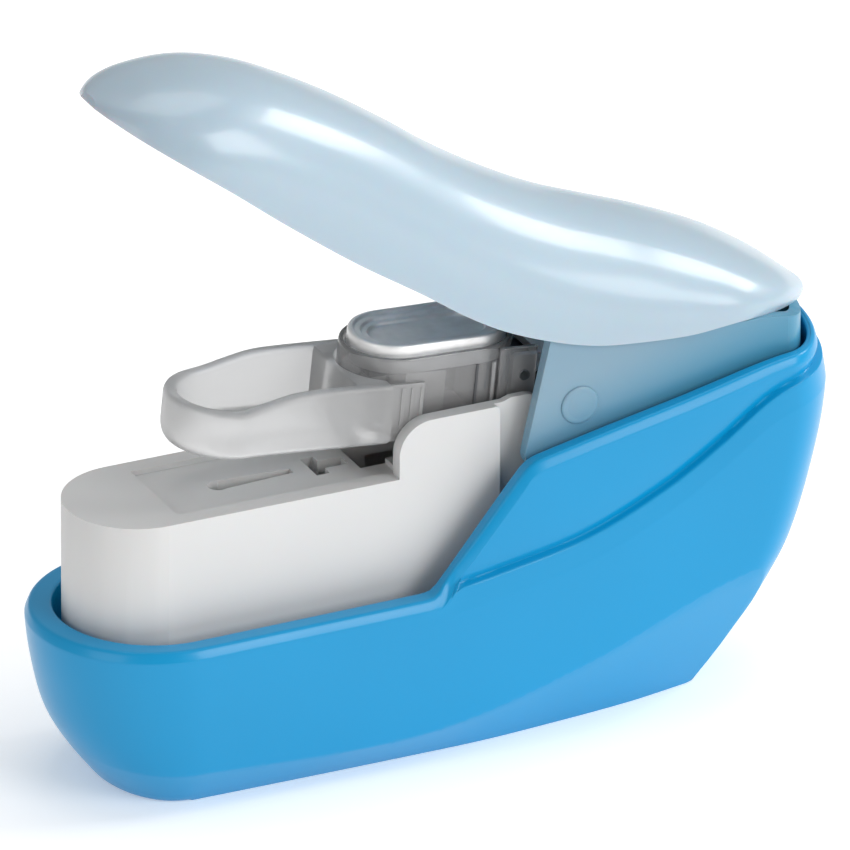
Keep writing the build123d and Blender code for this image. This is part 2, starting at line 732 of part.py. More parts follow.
# ---- punch ----
def press_plate():
    """Pressed steel cap on the punch: stadium-shaped, with a raised lip round a shallow recess."""
    top = press_top_z
    x0 = punch_x - press_length / 2
    x1 = punch_x + press_length / 2
    body = extrude(up(top - press_height) * stadium(x0, x1, press_half), amount=press_height)
    body -= extrude(up(top - press_recess) * stadium(x0 + press_lip, x1 - press_lip, press_half - press_lip),
                    amount=press_recess + 1)
    wall = 0.8
    body -= extrude(up(top - press_height - 1) * stadium(x0 + wall, x1 - wall, press_half - wall),
                    amount=press_height - press_recess - wall + 1)
    return body


def holder_top():
    """Height of the punch holder's top, under the press plate's skin."""
    return press_top_z - press_recess - 0.8


def lever_turned(x, z, angle):
    """Side-view place of a lever point after the lever has been pressed through an angle."""
    turn = radians(angle)
    dx = x - pivot_x
    dz = z - pivot_z
    return pivot_x + dx * cos(turn) - dz * sin(turn), pivot_z + dx * sin(turn) + dz * cos(turn)


def drive_pin_seen_from_arm(pressed):
    """Side-view place of the drive pin in the arm's closed frame: 0 is at rest and 1 is fully pressed."""
    x, z = lever_turned(drive_x, drive_z, pressed * lever_travel)
    turn = radians(arm_open * (1 - pressed))
    dx = x - arm_x
    dz = z - arm_z
    return arm_x + dx * cos(turn) - dz * sin(turn), arm_z + dx * sin(turn) + dz * cos(turn)


def punch_stroke():
    """How far the drive pin pushes the punch down through the arm."""
    return drive_pin_seen_from_arm(0)[1] - drive_pin_seen_from_arm(1)[1]


def punch_holder():
    """Moulded block under the press plate that carries both blades and reaches back to the drive pin."""
    top = holder_top()
    x0 = punch_x - press_length / 2 + 1.2
    x1 = punch_x + press_length / 2 - 1.2
    half = press_half - 0.8 - punch_gap
    body = extrude(up(top - holder_cap) * stadium(x0, x1, half), amount=holder_cap)
    body += block(punch_x - 8.7, punch_x + 2.3, -blade_block_half, blade_block_half, top - holder_depth, top - 0.2)
    pin_x, pin_z = drive_pin_seen_from_arm(0)
    back_x = drive_pin_seen_from_arm(1)[0]
    slot = drive_pin_r + pin_play
    tail_rear = pin_x + slot + 1.5
    tail = block(holder_tail_x(), tail_rear, -holder_tail_half, holder_tail_half, pin_z - slot - 1.2,
                 pin_z + slot + 1.2)
    neck_rear = x1 - half + sqrt(half ** 2 - holder_tail_half ** 2)
    tail += block(holder_tail_x(), neck_rear, -holder_tail_half, holder_tail_half, pin_z, top - holder_cap / 2)
    opening = slab(side_polygon([
        (back_x - slot, pin_z - slot), (pin_x + slot, pin_z - slot), (pin_x + slot, pin_z + slot),
        (back_x - slot, pin_z + slot)], [slot * 0.98] * 4), shell_width)
    return (body + tail) - opening - slit_blade() - tongue_cutter() - blade_pin()


def blade_pin():
    """Cross pin that keeps both blades in the holder."""
    half = blade_block_half + 0.4
    pin = Pos(punch_x - 6.7, 0, holder_top() - 1.6)
    return pin * extrude(Plane.XZ * Circle(0.6), amount=half, both=True)


def blade_tip_z():
    """Height of the blade tips, just inside the guide's floor."""
    return guide_floor_z + 0.6


def slit_blade():
    """Narrow blade with an eye that pulls the tongue back up through the slit."""
    top = holder_top() - 0.4
    tip = blade_tip_z()
    outline = side_polygon([
        (punch_x - 8.4, top), (punch_x - 8.4, tip + 1.6), (punch_x - 7.2, tip), (punch_x - 5.0, tip + 1.6),
        (punch_x - 5.0, top)])
    eye = block(punch_x - 7.6, punch_x - 5.9, -1, 1, tip + 2.4, tip + 4.0)
    return slab(outline, blade_thickness / 2) - eye - blade_pin()


def tongue_cutter():
    """Formed U-shaped cutter that leaves an arrow-headed tongue of paper."""
    top = holder_top() - 0.4
    tip = blade_tip_z()
    outer = block(punch_x - 3.4, punch_x + 2.0, -2.4, 2.4, tip, top)
    inner = block(punch_x - 3.4 + blade_thickness, punch_x + 3.0, -2.4 + blade_thickness, 2.4 - blade_thickness,
                  tip - 1, top + 1)
    rake = slab(side_polygon([(punch_x - 3.5, tip - 1), (punch_x + 2.1, tip - 1), (punch_x + 2.1, tip + 1.8)]), 5)
    return outer - inner - rake


# ---- spring, clips and screws ----
def return_spring():
    """Compression spring that lifts the punch holder's tail, and the lever with it."""
    helix = Helix(pitch=(spring_height - 2 * spring_wire_r) / spring_turns,
                  height=spring_height - 2 * spring_wire_r, radius=spring_r)
    wire = sweep(Plane(origin=helix @ 0, z_dir=helix % 0) * Circle(spring_wire_r), path=helix, is_frenet=True)
    return Pos(drive_x, 0, spring_seat_z + spring_wire_r) * wire


def ring_clips(x, z, shaft_r, face):
    """Retaining clips on a cross pin, one outside each wall."""
    disc = cross_cylinder(x, z, shaft_r + 1.1, clip_thickness / 2, shaft_r)
    disc -= block(x - 0.5 * shaft_r, x + 0.5 * shaft_r, -1, 1, z - 2 * shaft_r - 2, z)
    return both_sides(Pos(0, face + running_gap + clip_thickness / 2, 0) * disc)


def pivot_clips():
    """Clips on the lever pivot pin, outside the frame walls."""
    return ring_clips(pivot_x, pivot_z, pivot_pin_r, frame_half)


def arm_clips():
    """Clips on the arm pivot pin, outside the frame walls."""
    return ring_clips(arm_x, arm_z, arm_pin_r, frame_half)


def frame_screws():
    """Pan-head screws up through the shell's floor into the frame."""
    screws = Part()
    for x in screw_xs:
        head = Pos(x, 0, screw_head_depth / 2 + 0.2) * Cylinder(screw_head_r, screw_head_depth - 0.4)
        shank = Pos(x, 0, (screw_head_depth + 11.0) / 2) * Cylinder(screw_r, 11.0 - screw_head_depth)
        cross = block(x - 1.4, x + 1.4, -0.35, 0.35, 0, 1.0) + block(x - 0.35, x + 0.35, -1.4, 1.4, 0, 1.0)
        screws += head + shank - cross
    return screws


def plate_screws():
    """Small screws that hold the die plate up against the deck."""
    screws = Part()
    top = block_top_z - deck
    for x in plate_screw_xs:
        for y in (-4.6, 4.6):
            screws += Pos(x, y, top - plate_thickness / 2 + 0.4) * Cylinder(plate_screw_r, plate_thickness + 0.8)
            screws += Pos(x, y, top - plate_thickness - 0.4) * Cylinder(plate_screw_r + 0.7, 0.8)
    return screws


def pusher_spring():
    """Leaf spring behind the flap pusher, fixed to the block's bulkhead."""
    wall_x = cheek_front_x - block_wall
    return block(wall_x - leaf_thickness, wall_x, -leaf_half, leaf_half, pusher_z - 12.0, pusher_z - 2.0)


def write(name, shape):
    """Writes one piece as a STEP file named after its node."""
    shape.label = name
    export_step(shape, f"parts/{name}.step")


def main():
    os.makedirs("parts", exist_ok=True)
    cover = lever_cover()
    pieces = {
        "base_shell": base_shell(),
        "main_frame": main_frame(),
        "die_plate": die_plate(),
        "flap_pusher": flap_pusher(),
        "pusher_pin": pusher_pin(),
        "pusher_collars": pusher_collars(),
        "lever_cover": cover,
        "lever_skirt": lever_skirt(cover),
        "lever_bushes": lever_bushes(),
        "lever_pivot_pin": pivot_pin(),
        "drive_pin": drive_pin(),
        "paper_guide": raised(paper_guide()),
        "arm_housing": raised(arm_housing()),
        "arm_link": raised(arm_link()),
        "arm_pivot_pin": arm_pin(),
        "press_plate": raised(press_plate()),
        "punch_holder": raised(punch_holder()),
        "slit_blade": raised(slit_blade()),
        "tongue_cutter": raised(tongue_cutter()),
        "blade_pin": raised(blade_pin()),
        "arm_rivets": raised(arm_rivets()),
        "arm_clips": arm_clips(),
        "pivot_clips": pivot_clips(),
        "return_spring": return_spring(),
        "frame_screws": frame_screws(),
        "plate_screws": plate_screws(),
        "pusher_spring": pusher_spring(),
    }
    for name, shape in pieces.items():
        write(name, shape)


main()
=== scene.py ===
"""Looks of the staple-free hand stapler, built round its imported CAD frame.

Frame: X along the length with the paper mouth at -X, Y across with the near side at -Y, and Z up from the
underside. Shapes are worked out in millimetres and written to the meshes in metres.
"""

import json
import math

import bmesh
import bpy
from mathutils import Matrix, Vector

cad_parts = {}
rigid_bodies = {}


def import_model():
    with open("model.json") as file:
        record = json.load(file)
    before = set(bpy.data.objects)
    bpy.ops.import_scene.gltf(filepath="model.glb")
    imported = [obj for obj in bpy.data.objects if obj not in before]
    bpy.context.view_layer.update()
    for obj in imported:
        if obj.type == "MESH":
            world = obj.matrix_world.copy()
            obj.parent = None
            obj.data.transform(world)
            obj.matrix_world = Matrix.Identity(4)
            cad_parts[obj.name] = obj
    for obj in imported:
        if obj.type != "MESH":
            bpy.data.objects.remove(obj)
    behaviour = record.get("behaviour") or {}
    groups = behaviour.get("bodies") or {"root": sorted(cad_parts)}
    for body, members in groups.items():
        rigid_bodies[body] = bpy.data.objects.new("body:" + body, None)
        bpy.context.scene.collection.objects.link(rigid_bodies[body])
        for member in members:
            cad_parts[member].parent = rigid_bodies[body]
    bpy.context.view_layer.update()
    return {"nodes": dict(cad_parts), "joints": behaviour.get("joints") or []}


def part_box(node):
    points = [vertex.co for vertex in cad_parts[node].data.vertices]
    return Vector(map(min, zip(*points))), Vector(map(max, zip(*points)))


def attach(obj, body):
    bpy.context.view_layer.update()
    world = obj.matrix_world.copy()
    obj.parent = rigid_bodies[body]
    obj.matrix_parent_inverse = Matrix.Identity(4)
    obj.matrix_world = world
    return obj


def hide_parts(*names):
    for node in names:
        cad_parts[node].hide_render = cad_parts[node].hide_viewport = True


for leftover in list(bpy.data.objects):
    bpy.data.objects.remove(leftover)
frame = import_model()

MM = 0.001
nodes = frame["nodes"]
joints = {joint["name"]: joint for joint in frame["joints"]}


def box_mm(node):
    """Lowest and highest corner of a CAD node, in millimetres."""
    low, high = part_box(node)
    return low / MM, high / MM


def joint_mm(name):
    """Axis point of a hinge, in millimetres."""
    return Vector(joints[name]["pos_m"]) / MM


# ---- shape helpers ----
def smooth(table, share):
    """Value at a share of the way along a table of (share, value) points, without corners."""
    if share <= table[0][0]:
        return table[0][1]
    slopes = []
    for i in range(len(table)):
        before = table[max(i - 1, 0)]
        after = table[min(i + 1, len(table) - 1)]
        slopes.append((after[1] - before[1]) / (after[0] - before[0]))
    for i in range(len(table) - 1):
        (s0, v0), (s1, v1) = table[i], table[i + 1]
        if share <= s1:
            span = s1 - s0
            t = (share - s0) / span
            return ((2 * t ** 3 - 3 * t ** 2 + 1) * v0 + (t ** 3 - 2 * t ** 2 + t) * span * slopes[i]
                    + (3 * t ** 2 - 2 * t ** 3) * v1 + (t ** 3 - t ** 2) * span * slopes[i + 1])
    return table[-1][1]


def straight(table, share):
    """Value at a share of the way along a table, in straight runs."""
    if share <= table[0][0]:
        return table[0][1]
    for (s0, v0), (s1, v1) in zip(table, table[1:]):
        if share <= s1:
            return v0 + (v1 - v0) * (share - s0) / (s1 - s0)
    return table[-1][1]


def ease(low, high, value):
    """0 below low, 1 above high, and a smooth step between."""
    t = min(max((value - low) / (high - low), 0.0), 1.0)
    return t * t * (3 - 2 * t)


def new_piece(name, points, faces, body, material, sharp=35.0):
    """Makes a mesh piece from points in millimetres, and gives it its body and material."""
    mesh = bpy.data.meshes.new(name)
    mesh.from_pydata([Vector(p) * MM for p in points], [], faces)
    mesh.validate()
    working = bmesh.new()
    working.from_mesh(mesh)
    bmesh.ops.remove_doubles(working, verts=working.verts, dist=1e-7)
    bmesh.ops.recalc_face_normals(working, faces=working.faces)
    working.to_mesh(mesh)
    working.free()
    mesh.shade_smooth()
    mesh.set_sharp_from_angle(angle=math.radians(sharp))
    piece = bpy.data.objects.new(name, mesh)
    bpy.context.scene.collection.objects.link(piece)
    piece.data.materials.append(material)
    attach(piece, body)
    return piece


def grid_faces(rows, columns, closed_rows=False, closed_columns=False):
    """Quads over a grid of points stored row by row."""
    faces = []
    last_row = rows if closed_rows else rows - 1
    last_column = columns if closed_columns else columns - 1
    for r in range(last_row):
        for c in range(last_column):
            row = r * columns
            next_row = (r + 1) % rows * columns
            next_column = (c + 1) % columns
            faces.append((row + c, row + next_column, next_row + next_column, next_row + c))
    return faces


def bevel(piece, width, segments=3, angle=30.0):
    """Rounds a piece's edges by a width in millimetres."""
    modifier = piece.modifiers.new("edges", "BEVEL")
    modifier.width = width * MM
    modifier.segments = segments
    modifier.limit_method = "ANGLE"
    modifier.angle_limit = math.radians(angle)
    modifier.harden_normals = True
    modifier.use_clamp_overlap = True


# ---- materials ----
def shader(name, colour, roughness, **sockets):
    """A Principled material and its node tree, with fixed values set on the shader's own sockets."""
    material = bpy.data.materials.new(name)
    material.use_nodes = True
    tree = material.node_tree
    principled = tree.nodes["Principled BSDF"]
    principled.inputs["Base Color"].default_value = (*colour, 1.0)
    principled.inputs["Roughness"].default_value = roughness
    for socket, value in sockets.items():
        principled.inputs[socket.replace("_", " ")].default_value = value
    return material, tree, principled


def texture_noise(tree, size, detail=3.0, stretch=(1.0, 1.0, 1.0)):
    """Noise in object space whose grains are about size millimetres across."""
    coordinates = tree.nodes.new("ShaderNodeTexCoord")
    mapping = tree.nodes.new("ShaderNodeMapping")
    mapping.inputs["Scale"].default_value = stretch
    noise = tree.nodes.new("ShaderNodeTexNoise")
    noise.inputs["Scale"].default_value = 1.0 / (size * MM)
    noise.inputs["Detail"].default_value = detail
    tree.links.new(coordinates.outputs["Object"], mapping.inputs["Vector"])
    tree.links.new(mapping.outputs["Vector"], noise.inputs["Vector"])
    return noise


def vary(tree, principled, socket, noise, low, high):
    """Drives a shader socket between two values by a noise."""
    span = tree.nodes.new("ShaderNodeMapRange")
    span.inputs["From Min"].default_value = 0.35
    span.inputs["From Max"].default_value = 0.65
    span.inputs["To Min"].default_value = low
    span.inputs["To Max"].default_value = high
    tree.links.new(noise.outputs["Fac"], span.inputs["Value"])
    tree.links.new(span.outputs["Result"], principled.inputs[socket])


def tint(tree, principled, noise, dark, light):
    """Colour between two tones by a noise."""
    ramp = tree.nodes.new("ShaderNodeValToRGB")
    ramp.color_ramp.elements[0].position = 0.3
    ramp.color_ramp.elements[0].color = (*dark, 1.0)
    ramp.color_ramp.elements[1].position = 0.7
    ramp.color_ramp.elements[1].color = (*light, 1.0)
    tree.links.new(noise.outputs["Fac"], ramp.inputs["Fac"])
    tree.links.new(ramp.outputs["Color"], principled.inputs["Base Color"])


def relief(tree, principled, noise, strength, depth):
    """Fine bump from a noise, depth in millimetres."""
    bump = tree.nodes.new("ShaderNodeBump")
    bump.inputs["Strength"].default_value = strength
    bump.inputs["Distance"].default_value = depth * MM
    tree.links.new(noise.outputs["Fac"], bump.inputs["Height"])
    tree.links.new(bump.outputs["Normal"], principled.inputs["Normal"])


def mixed(colour, factor):
    """A colour made lighter or darker by a factor."""
    return tuple(min(channel * factor, 1.0) for channel in colour)


def plastic(name, colour, roughness, spread=0.04, grain=0.5, relief_depth=0.01, **sockets):
    """Moulded plastic: slight tone and gloss changes, and a faint moulded grain."""
    material, tree, principled = shader(name, colour, roughness, **sockets)
    tint(tree, principled, texture_noise(tree, 30.0, 1.0),
         mixed(colour, 1 - spread), mixed(colour, 1 + spread))
    vary(tree, principled, "Roughness", texture_noise(tree, 12.0, 1.0),
         roughness * 0.93, roughness * 1.07)
    relief(tree, principled, texture_noise(tree, grain, 2.0), 0.15, relief_depth)
    return material


def metal(name, colour, roughness, stretch=(1.0, 1.0, 1.0), grain=0.4, relief_depth=0.006):
    """Steel with a drawn or brushed grain; a larger stretch makes it finer along that axis."""
    material, tree, principled = shader(name, colour, roughness, Metallic=1.0)
    tint(tree, principled, texture_noise(tree, 3.0), mixed(colour, 0.9), mixed(colour, 1.08))
    brushed = texture_noise(tree, grain, 4.0, stretch)
    vary(tree, principled, "Roughness", brushed, roughness * 0.8, roughness * 1.25)
    relief(tree, principled, brushed, 0.35, relief_depth)
    return material


skirt_shade_slope = 0.42  # the skirt's painted shade follows the shell's rim, which rises to the rear
# heights where the skirt's painted shade is full and where it ends
skirt_full_shade_below = 28.5
skirt_unshaded_above = 43.0


def skirt_plastic(name, upper, painted_shade_colour, roughness):
    """Milky plastic with painted shade: darker lower down, standing in for the shaded inside of the shell seen
    through it.
    """
    material, tree, principled = shader(name, upper, roughness, Subsurface_Weight=0.2,
                                        Subsurface_Scale=0.002)
    coordinates = tree.nodes.new("ShaderNodeTexCoord")
    parts = tree.nodes.new("ShaderNodeSeparateXYZ")
    tree.links.new(coordinates.outputs["Object"], parts.inputs["Vector"])
    slope = tree.nodes.new("ShaderNodeMath")
    slope.operation = "MULTIPLY_ADD"
    slope.inputs[1].default_value = -skirt_shade_slope
    tree.links.new(parts.outputs["X"], slope.inputs[0])
    tree.links.new(parts.outputs["Z"], slope.inputs[2])
    span = tree.nodes.new("ShaderNodeMapRange")
    span.interpolation_type = "SMOOTHSTEP"
    span.inputs["From Min"].default_value = skirt_full_shade_below * MM
    span.inputs["From Max"].default_value = skirt_unshaded_above * MM
    tree.links.new(slope.outputs["Value"], span.inputs["Value"])
    # painted shade: the colour blends to the darker tone lower down on the skirt
    blend = tree.nodes.new("ShaderNodeMix")
    blend.data_type = "RGBA"
    blend.inputs["A"].default_value = (*painted_shade_colour, 1.0)
    blend.inputs["B"].default_value = (*upper, 1.0)
    tree.links.new(span.outputs["Result"], blend.inputs["Factor"])
    tree.links.new(blend.outputs["Result"], principled.inputs["Base Color"])
    vary(tree, principled, "Roughness", texture_noise(tree, 6.0), roughness * 0.88, roughness * 1.14)
    relief(tree, principled, texture_noise(tree, 0.5), 0.25, 0.01)
    return material


materials = {
    "shell_blue": plastic("shell_plastic", (0.0, 0.275, 0.555), 0.3, 0.03, Specular_IOR_Level=0.35,
                          Coat_Weight=0.12, Coat_Roughness=0.12),
    "frame_white": plastic("frame_plastic", (0.66, 0.66, 0.655), 0.5, 0.015, Subsurface_Weight=0.08,
                           Subsurface_Scale=0.002),
    "lever_tint": plastic("lever_plastic", (0.37, 0.48, 0.56), 0.33, 0.01, Subsurface_Weight=0.35,
                          Subsurface_Scale=0.003, Coat_Weight=0.4, Coat_Roughness=0.12),
    # the skirt's second, darker colour is painted shade for its lower part
    "skirt_tint": skirt_plastic("skirt_plastic", (0.205, 0.33, 0.42), (0.055, 0.25, 0.385), 0.36),
    "guide_clear": plastic("guide_plastic", (0.77, 0.77, 0.77), 0.36, 0.02, Transmission_Weight=0.74,
                           IOR=1.46),
    "housing_smoke": plastic("housing_plastic", (0.76, 0.76, 0.765), 0.12, 0.04, Transmission_Weight=0.84,
                             IOR=1.49),
    "steel": metal("pressed_steel", (0.95, 0.945, 0.935), 0.52, (1.0, 10.0, 10.0)),
    "pin_steel": metal("ground_steel", (0.66, 0.66, 0.67), 0.18, (14.0, 1.0, 14.0), 0.3, 0.003),
    "spring_steel": metal("spring_wire", (0.42, 0.42, 0.43), 0.28, (1.0, 1.0, 1.0), 0.6),
    "holder_grey": plastic("holder_plastic", (0.075, 0.078, 0.085), 0.45, 0.08),
    "bush": plastic("bush_plastic", (0.78, 0.75, 0.66), 0.4, 0.03, Subsurface_Weight=0.1,
                    Subsurface_Scale=0.001),
}


def dress_node(name, width, segments=2, angle=28.0):
    """Gives a CAD node its finished material and fine rounded edges, by modifiers only."""
    node = nodes[name]
    slot_name = node.data.materials[0].name.split(".")[0]
    node.data.materials[0] = materials[slot_name]
    weld = node.modifiers.new("weld", "WELD")
    weld.merge_threshold = 2e-6
    if width:
        bevel(node, width, segments, angle)
    return node


# ---- shell ----
shell_low, shell_high = box_mm("base_shell")
shell_half = 16.0
rim_band = 3.0
wall = 2.6
tail_round = 9.0
floor_top = 2.5
nose_x = shell_low.x + shell_half
rear_x = shell_high.x
fin_top = shell_high.z
nose_lost = [(0.0, 8.3), (4.5, 4.9), (9.0, 2.3), (14.0, 0.8), (21.0, -0.3), (32.0, -0.4), (50.0, -0.4)]
side_lost = [(0.0, 1.8), (4.5, 1.0), (9.0, 0.6), (14.0, 0.3), (21.0, 0.0), (40.0, 0.0), (50.0, 0.3)]
rear_lost = [(0.0, 18.4), (4.5, 15.4), (9.0, 12.6), (14.0, 9.3), (21.0, 5.3), (32.0, 1.9), (40.0, 0.5),
             (50.0, 0.4)]
room_nose = [(2.5, 8.8), (10.0, 4.0), (18.0, 0.8), (24.0, 0.0), (50.0, 0.0)]
room_side = [(2.5, 4.2), (10.0, 1.6), (18.0, 0.2), (24.0, 0.0), (50.0, 0.0)]
room_rear = [(2.5, 17.4), (10.0, 11.4), (18.0, 6.6), (24.0, 3.6), (29.0, 2.3), (34.0, 1.2), (40.0, 0.3),
             (50.0, 0.3)]
rim_line = [(-60.0, 22.8), (-7.0, 23.35), (-6.0, 23.45), (-5.2, 23.75), (-4.2, 24.8), (6.8, 38.1),
            (8.2, 39.1), (10.0, 39.6), (19.0, 41.5), (24.0, 42.5), (29.0, 43.5), (34.0, 44.6),
            (39.0, 45.7), (43.0, 46.4), (46.0, 46.6), (60.0, 46.6)]
shoulder_line = [(-9.0, 23.5), (-5.0, 23.7), (4.0, 25.1), (15.7, 27.6), (26.4, 32.2), (33.5, 36.5),
                 (41.0, 41.6), (47.0, 43.4), (60.0, 44.0)]
foot_line = [(-60.0, 11.0), (0.0, 11.0), (15.0, 9.8), (25.0, 8.5), (34.0, 6.6), (40.0, 5.6), (60.0, 5.2)]
ledge_height = 3.0
crease_line = [(-54.0, 5.6), (-41.0, 5.4), (-7.0, 4.7), (15.0, 9.2), (34.0, 15.9), (42.0, 17.6),
               (56.0, 19.0)]
rim_drop = 1.3
rim_in = 0.55


def plan_columns():
    """Columns round the shell: (part, share), nose to near side to tail to far side."""
    columns = [("nose", math.radians(90 + 180 * i / 56)) for i in range(56)]
    columns += [("near", i / 110) for i in range(110)]
    columns += [("tail", math.radians(-90 + 180 * i / 44)) for i in range(44)]
    columns += [("far", 1 - i / 110) for i in range(110)]
    return columns


def plan_point(column, nose, half, rear, tail):
    """Plan place and outward direction of a column, for one size of outline."""
    part, at = column
    centre = rear - tail
    if part in ("nose", "tail"):
        middle_x, reach = (nose_x, nose) if part == "nose" else (centre, tail)
        place = (middle_x + reach * math.cos(at), half * math.sin(at))
        return place, (math.cos(at) / reach, math.sin(at) / half)
    side = -1 if part == "near" else 1
    return (nose_x + at * (centre - nose_x), side * half), (0.0, side / half)


def crease_limit(x, z):
    """Half-width that the slanted lower flank leaves at a place along the shell."""
    foot = smooth(foot_line, x)
    return foot + z * (shell_half - 1.0 - foot) / smooth(crease_line, x)


def lesser(value, limit, blend):
    """The smaller of two values, turning from one to the other over a short blend."""
    gap = (value - limit) / blend
    if gap <= -1:
        return value
    return limit if gap >= 1 else value - blend * (gap + 1) ** 2 / 4


def outer_point(column, z, inset=0.0):
    """A point of the outer wall, with the lower flank and the groove under the fin."""
    half = shell_half - smooth(side_lost, z)
    if column[0] == "nose":
        half = lesser(half, crease_limit(nose_x, z), 0.12)
    (x, y), (dx, dy) = plan_point(column, shell_half - smooth(nose_lost, z), half,
                                  rear_x - smooth(rear_lost, z), tail_round)
    length = math.hypot(dx, dy)
    above = z - smooth(shoulder_line, x)
    strength = ease(-7.2, -2.0, x)
    ledge = 0.5 * min(max((above + ledge_height) / ledge_height, 0.0), 1.0)
    hollow = ease(0.0, 0.45, above) * (1.05 * math.exp(-max(above, 0.0) / 2.6) + 0.05)
    groove = (ledge + hollow) * strength
    inset += groove
    x -= inset * dx / length
    y -= inset * dy / length
    if column[0] != "nose":
        y = math.copysign(lesser(abs(y), crease_limit(x, z), 0.12), y)
    return x, y


def inner_point(column, z, inset=0.0):
    """A point of the inner wall."""
    half = shell_half - rim_band
    (x, y), (dx, dy) = plan_point(column, half - straight(room_nose, z), half - straight(room_side, z),
                                  rear_x - straight(room_rear, z) - wall, tail_round - wall)
    length = math.hypot(dx, dy)
    return x + inset * dx / length, y + inset * dy / length


def settle(column, height, point):
    """Height on a line over the length that a column of the wall reaches."""
    z = 30.0
    for _ in range(14):
        z = height(point(column, z)[0])
    return z


def shell_column(column):
    """Points of one column, from the foot's edge up the outside, over the rim and down the inside."""
    rim = settle(column, lambda x: smooth(rim_line, x), outer_point)
    x_rim = outer_point(column, rim)[0]
    slope = (smooth(rim_line, x_rim + 0.5) - smooth(rim_line, x_rim - 0.5))
    lean = math.hypot(1.0, slope)
    under_rim = rim - (rim_drop + 0.3) * lean
    shoulder = min(settle(column, lambda x: smooth(shoulder_line, x), outer_point), under_rim - 0.8)
    crease = 0.6  # height where the side meets the slanted lower flank
    for i in range(1, 44):
        z = i * 0.5
        x, y = plan_point(column, shell_half - smooth(nose_lost, z), shell_half - smooth(side_lost, z),
                          rear_x - smooth(rear_lost, z), tail_round)[0]
        reach = shell_half - smooth(side_lost, z) if column[0] == "nose" else abs(y)
        if reach > crease_limit(nose_x if column[0] == "nose" else x, z):
            crease = z + 0.5
    points = []
    for z, inset in ((0.0, 0.9), (0.0, 0.6), (0.04, 0.35), (0.18, 0.12), (0.45, 0.0)):
        x, y = outer_point(column, z, inset)
        points.append((x, y, z))
    heights = [0.45 + (crease - 0.5 - 0.45) * i / 7 for i in range(1, 8)]
    heights += [crease - 0.25, crease, crease + 0.25]
    low = crease + 0.25
    heights += [low + (shoulder - 1.25 * ledge_height - low) * i / 24 for i in range(1, 25)]
    ledge_shares = (1.1, 1.03, 1.0, 0.97, 0.85, 0.65, 0.4, 0.2, 0.08, 0.0)
    heights += [shoulder - ledge_height * share for share in ledge_shares]
    room = min((under_rim - shoulder) / 6.5, 1.0)
    groove_steps = (0.1, 0.2, 0.3, 0.4, 0.5, 0.7, 1.0, 1.4, 2.0, 2.8, 3.8, 5.0)
    heights += [shoulder + room * step for step in groove_steps]
    low = heights[-1]
    heights += [low + (under_rim - low) * i / 7 for i in range(1, 8)]
    for z in heights:
        x, y = outer_point(column, z)
        points.append((x, y, z))
    outer_rim = ((rim_drop, 0.0), (rim_drop - 0.12, 0.04), (rim_drop - 0.3, 0.12), (0.34, rim_in - 0.14),
                 (0.16, rim_in), (0.05, rim_in + 0.13), (0.0, rim_in + 0.32), (0.0, rim_in + 0.6))
    for drop, inset in outer_rim:
        z = rim - drop * lean
        x, y = outer_point(column, z, inset)
        points.append((x, y, smooth(rim_line, x) - drop * lean))
    top = settle(column, lambda x: smooth(rim_line, x), inner_point)
    for drop, inset in ((0.0, 0.55), (0.0, 0.32), (0.05, 0.14), (0.16, 0.04), (0.34, 0.0)):
        x, y = inner_point(column, top - drop, inset)
        points.append((x, y, smooth(rim_line, x) - drop * lean))
    start = top - 0.34 * lean
    for i in range(1, 19):
        z = start + (floor_top - start) * i / 18
        x, y = inner_point(column, z)
        points.append((x, y, z))
    return points


def build_shell():
    """The whole lower body, closed underneath."""
    columns = [shell_column(column) for column in plan_columns()]
    rows = len(columns[0])
    count = len(columns)
    points = [columns[c][r] for r in range(rows) for c in range(count)]
    faces = grid_faces(rows, count, closed_columns=True)
    faces.append(tuple(range(count)))
    faces.append(tuple(range((rows - 1) * count, rows * count)))
    shell = new_piece("shell_body", points, faces, "base", materials["shell_blue"], 50.0)
    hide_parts("base_shell")
    return shell


# ---- lever ----
lever_low, lever_high = box_mm("lever_cover")
lever_half = (lever_high.y - lever_low.y) / 2
pivot = joint_mm("lever_hinge")
lever_angle = math.radians(24.2)
lever_length = 106.6
lever_tail = pivot + Vector((9.7, 0.0, 13.5))
lever_widths = [(0.0, 0.2), (0.02, 0.42), (0.05, 0.66), (0.08, 0.82), (0.115, 0.92), (0.15, 0.96),
                (0.25, 1.0), (0.6, 1.0), (0.8, 1.0), (0.88, 0.94), (0.93, 0.8), (0.965, 0.61),
                (0.99, 0.34), (1.0, 0.16)]
lever_unders = [(0.0, -0.6), (0.06, -1.5), (0.12, -3.5), (0.18, -6.6), (0.25, -9.3), (0.3, -10.9),
                (0.36, -11.8), (0.425, -12.0), (0.48, -11.4), (0.55, -10.0), (0.65, -8.2), (0.76, -5.6),
                (0.85, -3.2), (0.93, -1.5), (1.0, -0.2)]
lever_crowns = [(0.0, 0.6), (0.06, 2.2), (0.14, 3.4), (0.22, 3.7), (0.3, 3.4), (0.37, 3.2), (0.45, 3.8),
                (0.53, 5.0), (0.6, 6.6), (0.68, 8.1), (0.76, 9.0), (0.82, 9.1), (0.88, 8.0), (0.94, 5.2),
                (0.98, 2.4), (1.0, 0.8)]
cover_wall = 1.6


def lever_place(share, y, height):
    """A point of the raised lever: share of its length, offset across and height off its chord."""
    reach = share * lever_length
    x = lever_tail.x - reach * math.cos(lever_angle) + height * math.sin(lever_angle)
    z = lever_tail.z + reach * math.sin(lever_angle) + height * math.cos(lever_angle)
    return x, y, z


